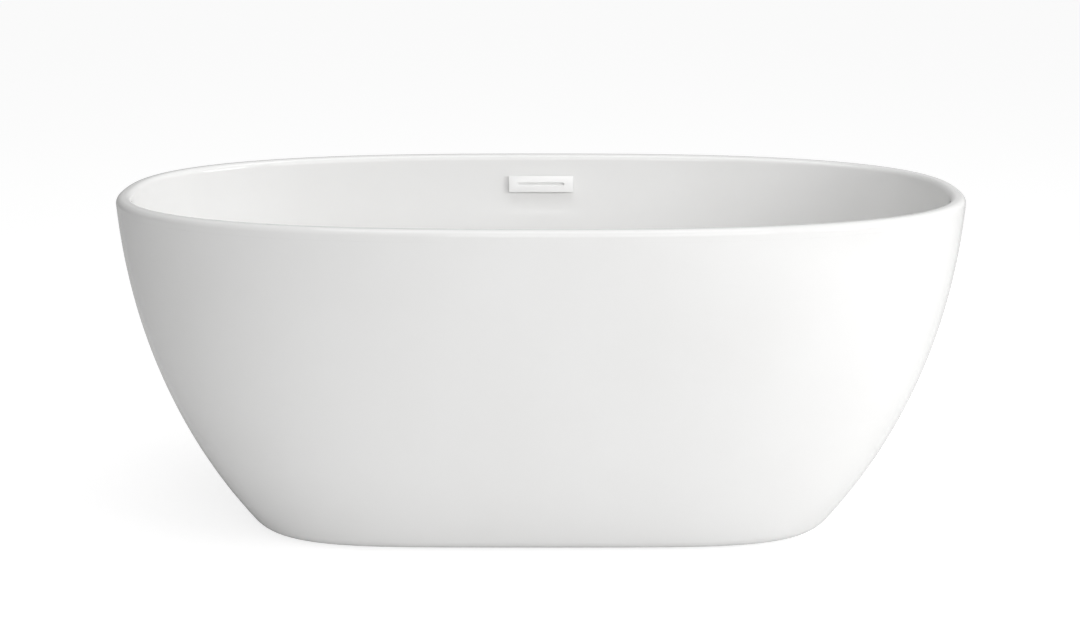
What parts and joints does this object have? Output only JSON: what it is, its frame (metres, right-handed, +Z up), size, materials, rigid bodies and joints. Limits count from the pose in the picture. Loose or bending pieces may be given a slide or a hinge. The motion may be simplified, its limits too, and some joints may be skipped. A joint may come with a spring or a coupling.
{
  "type": "freestanding bathtub",
  "caption": "Freestanding oval bathtub with an overflow slot in one long wall, a central push drain, an inner steel frame and screw feet under a one-piece outer skirt.",
  "frame": {"origin": "middle of the floor area under the tub, on the plane that the foot pads stand on", "axes": "+X along the length, +Y towards the long wall with the overflow, +Z up"},
  "size_m": [1.5, 0.738, 0.595],
  "materials": {
    "acrylic_white": "polished cast acrylic",
    "fibreglass_laminate": "rough cured resin and glass mat",
    "white_trim": "smooth moulded plastic",
    "chipboard": "raw pressed board",
    "galvanised_steel": "galvanised, dull",
    "zinc_plated_steel": "bright zinc plating",
    "brass_plain": "turned",
    "rubber_black": "moulded, matt",
    "plastic_black": "injection moulded"
  },
  "bodies": {
    "root": {"base_board": "chipboard", "basin_shell": "acrylic_white", "board_screw_1": "zinc_plated_steel", "board_screw_2": "zinc_plated_steel", "board_screw_3": "zinc_plated_steel", "board_screw_4": "zinc_plated_steel", "bracket_screw_1": "zinc_plated_steel", "bracket_screw_2": "zinc_plated_steel", "bracket_screw_3": "zinc_plated_steel", "bracket_screw_4": "zinc_plated_steel", "crossbar_1": "galvanised_steel", "crossbar_2": "galvanised_steel", "crossbar_3": "galvanised_steel", "crossbar_4": "galvanised_steel", "drain_body": "plastic_black", "drain_body_gasket": "rubber_black", "drain_flange": "white_trim", "drain_flange_seal": "rubber_black", "foot_boss_1": "galvanised_steel", "foot_boss_2": "galvanised_steel", "foot_boss_3": "galvanised_steel", "foot_boss_4": "galvanised_steel", "hose_clamp_lower": "zinc_plated_steel", "hose_clamp_upper": "zinc_plated_steel", "overflow_cover": "white_trim", "overflow_cover_seal": "rubber_black", "overflow_gasket": "rubber_black", "overflow_hose": "plastic_black", "overflow_housing": "plastic_black", "overflow_screw_1": "zinc_plated_steel", "overflow_screw_2": "zinc_plated_steel", "rail_back": "galvanised_steel", "rail_front": "galvanised_steel", "rim_bond_ring": "fibreglass_laminate", "skirt_bracket_1": "galvanised_steel", "skirt_bracket_2": "galvanised_steel", "skirt_bracket_3": "galvanised_steel", "skirt_bracket_4": "galvanised_steel", "skirt_shell": "acrylic_white", "stopper_spring": "zinc_plated_steel", "tailpiece": "plastic_black", "tailpiece_nut": "plastic_black", "tailpiece_washer": "rubber_black"},
    "foot_1": {"foot_pad_1": "rubber_black"},
    "stem_1": {"foot_stem_1": "zinc_plated_steel", "foot_nut_1": "zinc_plated_steel"},
    "foot_2": {"foot_pad_2": "rubber_black"},
    "stem_2": {"foot_stem_2": "zinc_plated_steel", "foot_nut_2": "zinc_plated_steel"},
    "foot_3": {"foot_pad_3": "rubber_black"},
    "stem_3": {"foot_stem_3": "zinc_plated_steel", "foot_nut_3": "zinc_plated_steel"},
    "foot_4": {"foot_pad_4": "rubber_black"},
    "stem_4": {"foot_stem_4": "zinc_plated_steel", "foot_nut_4": "zinc_plated_steel"},
    "stopper": {"stopper_cap": "white_trim", "stopper_seal": "rubber_black", "stopper_plunger": "brass_plain", "stopper_clip": "brass_plain"}
  },
  "joints": [
    {"name": "foot_level_1", "type": "slide", "parent": "root", "child": "foot_1", "axis": [0, 0, 1], "range_m": [-0.02, 0.003]},
    {"name": "foot_thread_1", "type": "hinge", "parent": "foot_1", "child": "stem_1", "pos_m": [-0.34, -0.15, 0.05], "axis": [0, 0, 1], "range_deg": [-4116, 620]},
    {"name": "foot_level_2", "type": "slide", "parent": "root", "child": "foot_2", "axis": [0, 0, 1], "range_m": [-0.02, 0.003]},
    {"name": "foot_thread_2", "type": "hinge", "parent": "foot_2", "child": "stem_2", "pos_m": [0.34, -0.15, 0.05], "axis": [0, 0, 1], "range_deg": [-4116, 620]},
    {"name": "foot_level_3", "type": "slide", "parent": "root", "child": "foot_3", "axis": [0, 0, 1], "range_m": [-0.02, 0.003]},
    {"name": "foot_thread_3", "type": "hinge", "parent": "foot_3", "child": "stem_3", "pos_m": [-0.34, 0.15, 0.05], "axis": [0, 0, 1], "range_deg": [-4116, 620]},
    {"name": "foot_level_4", "type": "slide", "parent": "root", "child": "foot_4", "axis": [0, 0, 1], "range_m": [-0.02, 0.003]},
    {"name": "foot_thread_4", "type": "hinge", "parent": "foot_4", "child": "stem_4", "pos_m": [0.34, 0.15, 0.05], "axis": [0, 0, 1], "range_deg": [-4116, 620]},
    {"name": "stopper_press", "type": "slide", "parent": "root", "child": "stopper", "axis": [0, 0, 1], "range_m": [-0.009, 0], "stiffness_N_per_m": 1500, "springref_m": 0.004, "deforming": ["stopper_spring"]}
  ],
  "couplings": [
    {"joint": "foot_thread_1", "follows": "foot_level_1", "rad_per_m": 3590.4},
    {"joint": "foot_thread_2", "follows": "foot_level_2", "rad_per_m": 3590.4},
    {"joint": "foot_thread_3", "follows": "foot_level_3", "rad_per_m": 3590.4},
    {"joint": "foot_thread_4", "follows": "foot_level_4", "rad_per_m": 3590.4}
  ]
}
